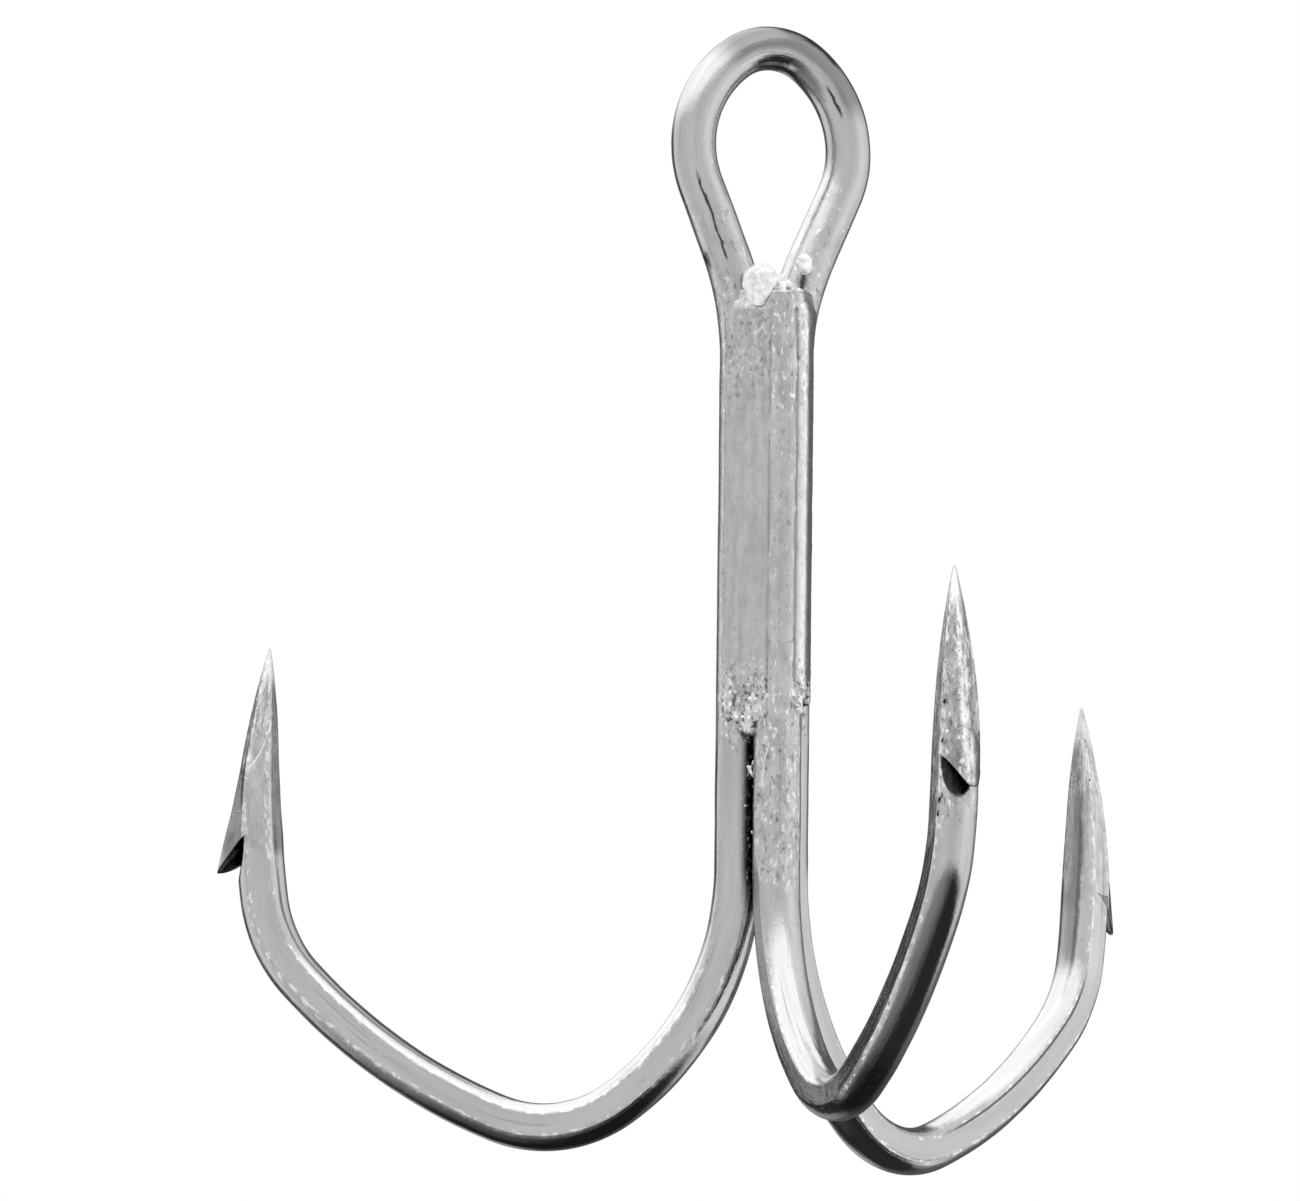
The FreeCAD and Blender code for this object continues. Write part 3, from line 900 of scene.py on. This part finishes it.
def wire_grey(paint):
    """Grey of the wire: fine lines along it, specks and pits, painted shade on the ground faces of the
    points, in dark creases beside the flats and on the left hook's bend, painted highlights on the
    spears' ridges and the left barb's edge, and a mottled skin where braze has run."""
    spot = WireSpot(paint)
    theta, from_tip, grains = spot.theta, spot.from_tip, spot.grains
    lines = paint.noise(spot.place, 1.0, (6.0, 6.0, 0.10), 6.0, 0.65)
    streaks = paint.noise(spot.place, 1.0, (2.2, 2.2, 0.22), 3.0, 0.6)
    rims = theta.near(1.05, 0.07, 0.22) + theta.near(2.10, 0.05, 0.18)
    rims = rims * (1.0 - from_tip.step(38.0, 42.0))
    specks = grains.step(0.70, 0.76) + rims * grains.step(0.52, 0.62) + spot.brazed * grains.step(0.62, 0.72)
    pits = (1.0 - grains.step(0.27, 0.36)) * (0.3 + rims * 0.7 + spot.brazed * 0.4)
    scratches = (1.0 - lines.step(0.33, 0.40)) * 0.30
    # Painted shade: dark lines beside the flats of the right and third hooks, and along the inner edge of
    # the left hook's flat
    flat_edge_shade = theta.near(2.06, 0.03, 0.08) * spot.flats * (1.0 - spot.on_left) * from_tip.step(11.0, 14.0)
    inner_edge_shade = theta.near(2.47, 0.03, 0.11) * spot.flats * spot.on_left * from_tip.step(9.0, 11.5)
    # Painted highlight along the outer ridge of the right and third hooks' spears
    ridge_highlight = (1.0 - theta.step(0.24, 0.30)) * spot.spear * (0.5 + spot.mottle.step(0.40, 0.5) * 0.5)
    ridge_highlight = ridge_highlight * (1.0 - spot.on_left)
    # Painted highlight: a bright line along the edge of the left barb, across its flats
    barb_edge_highlight = (from_tip - spot.outwards * (1.6 - spot.outwards)).near(4.9, 0.05, 0.12)
    barb_edge_highlight = barb_edge_highlight * theta.near(1.57, 0.46, 0.52)
    # Painted shade on the outer side of the left hook's bend
    shade = theta.near(0.6, 0.25, 0.5) * from_tip.step(21.0, 25.0) * (1.0 - from_tip.step(32.0, 34.0))
    shade = shade * spot.on_left
    bare_tip = 1.0 - from_tip.step(0.9, 2.1)
    # Painted shade in the barb's cut and under the barb, lighter on the right hook
    cut = paint.attribute("cut") * (0.93 - spot.on_right * 0.40)
    # Painted shade between the wires and on the belly of the third hook's bend, broken by light grains
    soot = paint.attribute("soot") * (1.0 - grains.step(0.58, 0.66) * 0.8)

    level = plated_grey + (streaks - 0.5) * 0.26 + (spot.brazed + spot.spear) * (spot.mottle - 0.5) * 0.22
    level = level.darkened(bevel_shade(spot), scratches, flat_edge_shade * 0.75, inner_edge_shade * 0.55)
    level = level + bare_tip * 0.3 + ridge_highlight * 0.24 + barb_edge_highlight * spot.on_left * 0.4
    level = level.darkened(pits * 0.7) + specks * 0.4 * (1.0 - flat_edge_shade) + scored(spot) * 0.5
    level = level.darkened(cut, soot * 0.9, shade * 0.5)
    level = level.darkened(touched(spot) * 0.88, eye_top_shade(spot) * 0.52, right_spear_tone(spot) * 0.5)
    return level.capped()


def wire_roughness(paint):
    """Slightly patchy polish, duller where braze has run."""
    patches = paint.noise(paint.attribute("wrap", "Vector"), 1.4, (1.0, 1.0, 0.35), 4.0, 0.6)
    return 0.05 + patches * 0.12 + paint.attribute("brazed") * 0.12


def wire_height(paint):
    """Drawn lines along the wire, soft dents that are deeper on the spears, the mottled skin where
    braze has run, and nicks across the outside of each spear."""
    place = paint.attribute("wrap", "Vector")
    outwards = paint.parts(place)[0]
    from_tip = paint.attribute("from_tip")
    slant = from_tip + outwards * 0.35
    lines = paint.noise(place, 1.0, (7.0, 7.0, 0.15), 4.0, 0.6)
    mottle = paint.noise(place, 3.0, (1.0, 1.0, 0.6), 4.0, 0.6)
    dents = paint.noise(place, 1.6, (1.0, 1.0, 0.5), 5.0, 0.6)
    dents = dents * (0.9 + (1.0 - from_tip.step(7.0, 9.5)) * 1.2)
    nicks = slant.near(4.3, 0.02, 0.09) + slant.near(6.1, 0.02, 0.08) + slant.near(7.6, 0.02, 0.08)
    nicks = nicks * mottle.step(0.50, 0.60) * outwards.step(0.3, 0.5)
    return lines * 0.45 + dents + paint.attribute("brazed") * mottle * 0.7 + nicks * 0.3


def wire_finish():
    """Bright plated wire."""
    return finish("bright_plated_wire", wire_grey, wire_roughness, wire_height, plated_bump)


def braze_finish():
    """Plated brazing metal: pale and mottled with specks, with painted shade along its ragged borders and
    where it sinks into a groove."""

    def base(paint):
        place = paint.attribute("wrap", "Vector")
        mottle = paint.mottle(place)
        streaks = paint.noise(place, 1.0, (3.0, 3.0, 0.3), 4.0, 0.6)
        mottled = paint.attribute("mottled")
        grains = paint.noise(place, 4.5, (1.0, 1.0, 0.9), 4.0, 0.6)
        grains = (grains - 0.5) * (1.0 + mottled * 0.9) + 0.5
        rough = 0.6 + mottled * 1.4
        specks = grains.step(0.62, 0.70) * 0.2 * rough
        pits = (1.0 - grains.step(0.30, 0.40)) * 0.35 * rough
        crust = paint.attribute("whiteness") * (grains.step(0.42, 0.60) * 0.13 + 0.11)
        level = plated_grey + (mottle - 0.5) * 0.20 * rough + (streaks - 0.5) * 0.3 + specks
        level = level.darkened(pits) + crust
        # Painted shade in the groove and along the seam's ragged border
        level = level.darkened(paint.attribute("soot") * 0.85, paint.attribute("seam_edge") * 0.75)
        return level.capped()

    def roughness(paint):
        place = paint.attribute("wrap", "Vector")
        return 0.12 + paint.noise(place, 3.0) * 0.2 + paint.attribute("whiteness") * 0.2

    def height(paint):
        place = paint.attribute("wrap", "Vector")
        return paint.noise(place, 2.4, (1.0, 1.0, 0.6), 5.0, 0.65) * (0.8 + paint.attribute("mottled") * 1.5)

    def powdered(paint):
        return paint.attribute("whiteness") * 0.7

    return finish("plated_braze", base, roughness, height, plated_bump, powdered)


def core_finish():
    """Braze deep between the wires, painted dull and dark as shade."""

    def grain(paint, scale, detail):
        place = paint.node("ShaderNodeTexCoord", {}, {}, "Object")
        return paint.noise(place, scale, detail=detail)

    def base(paint):
        return 0.10 + grain(paint, 1500.0, 4.0) * 0.2

    def roughness(paint):
        return 0.4 + grain(paint, 900.0, 2.0) * 0.3

    def height(paint):
        return grain(paint, 2500.0, 4.0)

    return finish("core_braze_painted_shade", base, roughness, height, core_bump)


# ---- room ----

def world():
    """White for the eye; for what the metal reflects, a studio with a grey front, a bright right
    side and ceiling, dark parts behind, and darkness below that is least deep at the left."""
    room = bpy.data.worlds.new("studio")
    bpy.context.scene.world = room
    room.use_nodes = True
    paint = Paint(room.node_tree)
    x, y, z = paint.parts(paint.node("ShaderNodeTexCoord", {}, {}, "Generated"))
    around = y.bearing(x) / (2 * math.pi) + 0.5
    stops = (
        (0.0, 0.68), (0.08, 0.73), (0.14, 0.74), (0.19, 0.68), (0.275, 0.70), (0.335, 0.80),
        (0.38, 0.97), (0.44, 0.95), (0.475, 0.88), (0.555, 0.80), (0.585, 0.2), (0.65, 0.10),
        (0.70, 0.14), (0.72, 0.5), (0.745, 0.5), (0.765, 0.07), (0.825, 0.05), (0.845, 0.85),
        (0.90, 0.85), (0.95, 0.68), (1.0, 0.68),
    )
    horizon = paint.node("ShaderNodeValToRGB", {"stops": stops}, {"Fac": around})
    # The bright ceiling is missing towards the right and comes lower at the back
    right_back = (x * 0.988 + y * 0.156).step(0.0, 1.0)
    left_back = (x * -0.156 + y * 0.988).step(0.0, 1.0)
    upper = (z - right_back * 0.9 + left_back * 0.22).step(0.40, 0.70)
    lower = 1.0 - z.step(-0.68, -0.44)
    # The dark below is less deep towards the left and a little to the front
    depth = 0.03 + (x * -0.94 + y * -0.34).step(0.0, 0.7) * 0.26
    level = horizon + (1.5 - horizon) * upper
    level = level + (depth - level) * lower
    path = paint.node("ShaderNodeLightPath", {}, {}, "Is Glossy Ray")
    light = 1.0 + (level - 1.0) * path
    background = paint.node("ShaderNodeBackground", {}, {"Color": paint.grey(light), "Strength": 1.0})
    paint.node("ShaderNodeOutputWorld", {}, {"Surface": background})


def floor():
    """A pale floor under the bends, seen from above and keeping the shadow; from below and in the
    metal it lets the room show."""
    level = solid_box[0].z
    half = 0.7
    mesh = bpy.data.meshes.new("floor")
    corners = [(-half, -half, level), (half, -half, level), (half, half, level), (-half, half, level)]
    mesh.from_pydata(corners, [], [(0, 1, 2, 3)])
    piece = bpy.data.objects.new("floor", mesh)
    bpy.context.scene.collection.objects.link(piece)
    material = bpy.data.materials.new("pale_floor")
    material.use_nodes = True
    paint = Paint(material.node_tree)
    below = paint.node("ShaderNodeNewGeometry", {}, {}, "Backfacing")
    glossy = paint.node("ShaderNodeLightPath", {}, {}, "Is Glossy Ray")
    away = below.math("MAXIMUM", below, glossy)
    pale = paint.node("ShaderNodeBsdfDiffuse", {}, {"Color": (0.9, 0.9, 0.9, 1.0)})
    clear = paint.node("ShaderNodeBsdfTransparent", {}, {})
    mixed = paint.node("ShaderNodeMixShader", {}, {0: away, 1: pale, 2: clear})
    paint.node("ShaderNodeOutputMaterial", {}, {"Surface": mixed})
    mesh.materials.append(material)


def unit(vector):
    """The vector's direction."""
    return vector / np.linalg.norm(vector)


def stand(piece, side, above, back, place):
    """Puts a camera or a lamp at a place, with its axes along these directions."""
    matrix = np.eye(4)
    matrix[:3, :] = np.stack((side, above, back, place), axis=1)
    piece.matrix_world = Matrix(matrix.tolist())
    bpy.context.scene.collection.objects.link(piece)


def camera():
    """A long lens that looks at the hook from the front left and a little below, slightly rolled."""
    turn = math.radians(-21.02)
    rise = math.radians(-8.845)
    roll = math.radians(-0.63)
    distance = 1092.0
    frame_width = 56.8
    bends_left = 5.07          # the bends are this far off the middle of the view
    bends_below = 11.53
    right = np.array([math.cos(turn), math.sin(turn), 0.0])
    back = np.array([math.sin(turn) * math.cos(rise), -math.cos(turn) * math.cos(rise), math.sin(rise)])
    up = np.cross(back, right)
    level = right * math.cos(roll) - up * math.sin(roll)
    above = right * math.sin(roll) + up * math.cos(roll)
    bends = np.array([0.0, axis_y, -31.9])
    place = bends + back * distance
    middle = bends - level * bends_left + above * bends_below
    back = unit(place - middle)
    level = unit(np.cross(above, back))
    lens = bpy.data.cameras.new("camera")
    lens.sensor_width = 36.0
    lens.lens = lens.sensor_width * distance / frame_width
    lens.clip_start = 0.05
    lens.clip_end = 20.0
    piece = bpy.data.objects.new("camera", lens)
    stand(piece, level, np.cross(back, level), back, place * MM)
    bpy.context.scene.camera = piece


def lamp(name, place, size, power):
    """A square soft lamp that faces the hook."""
    light = bpy.data.lights.new(name, "AREA")
    light.shape = "SQUARE"
    light.size = size
    light.energy = power
    piece = bpy.data.objects.new(name, light)
    piece.visible_camera = False
    piece.visible_glossy = False
    back = unit(np.array(place) - np.array([0.0, 0.0, -0.02]))
    side = unit(np.cross([0.0, 1.0, 0.0], back))
    stand(piece, side, np.cross(back, side), back, place)


def place_piece(piece, material, slot, *nodes):
    """Hands a piece over with its finish: it moves with the part's one body, and the solids that it
    covers are hidden."""
    piece.data.materials.append(material)
    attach(piece, "root")
    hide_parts(*nodes)


def main():
    """All the pieces of the hook, then the room."""
    wire = wire_finish()
    braze = braze_finish()
    place_piece(double_hook(), wire, "plated_wire", "double_hook")
    place_piece(third_hook(), wire, "plated_wire", "third_hook")
    grooves = {"front_left": (left_wire, front_wire), "front_right": (front_wire, right_wire),
               "rear": (right_wire, left_wire)}
    for number, (name, wires) in enumerate(grooves.items()):
        piece = seam(name, *wires, 50 + 10 * number)
        place_piece(piece, braze, "plated_braze", "seam_" + name)
    place_piece(web(), braze, "plated_braze", "eye_web")
    cap = nugget("end_cap_lump", cap_centre, cap_half, 3, 11, 18)
    place_piece(cap, braze, "plated_braze", "third_hook_cap")
    splash = nugget("left_splash", splash_centre, splash_half, 5, 13, 20, splash_turn)
    place_piece(splash, braze, "plated_braze", "bead_left")
    drop = nugget("right_drop", drop_centre, drop_half, 6, 18, 10)
    place_piece(drop, braze, "plated_braze", "bead_right")
    core = frame["nodes"]["braze_core"]
    core.data.materials.clear()
    core.data.materials.append(core_finish())

    world()
    floor()
    camera()
    lamp("ceiling_lamp", (0.15, -0.25, 0.7), 0.5, 3.0)
    bpy.context.scene.view_settings.view_transform = "Standard"


main()
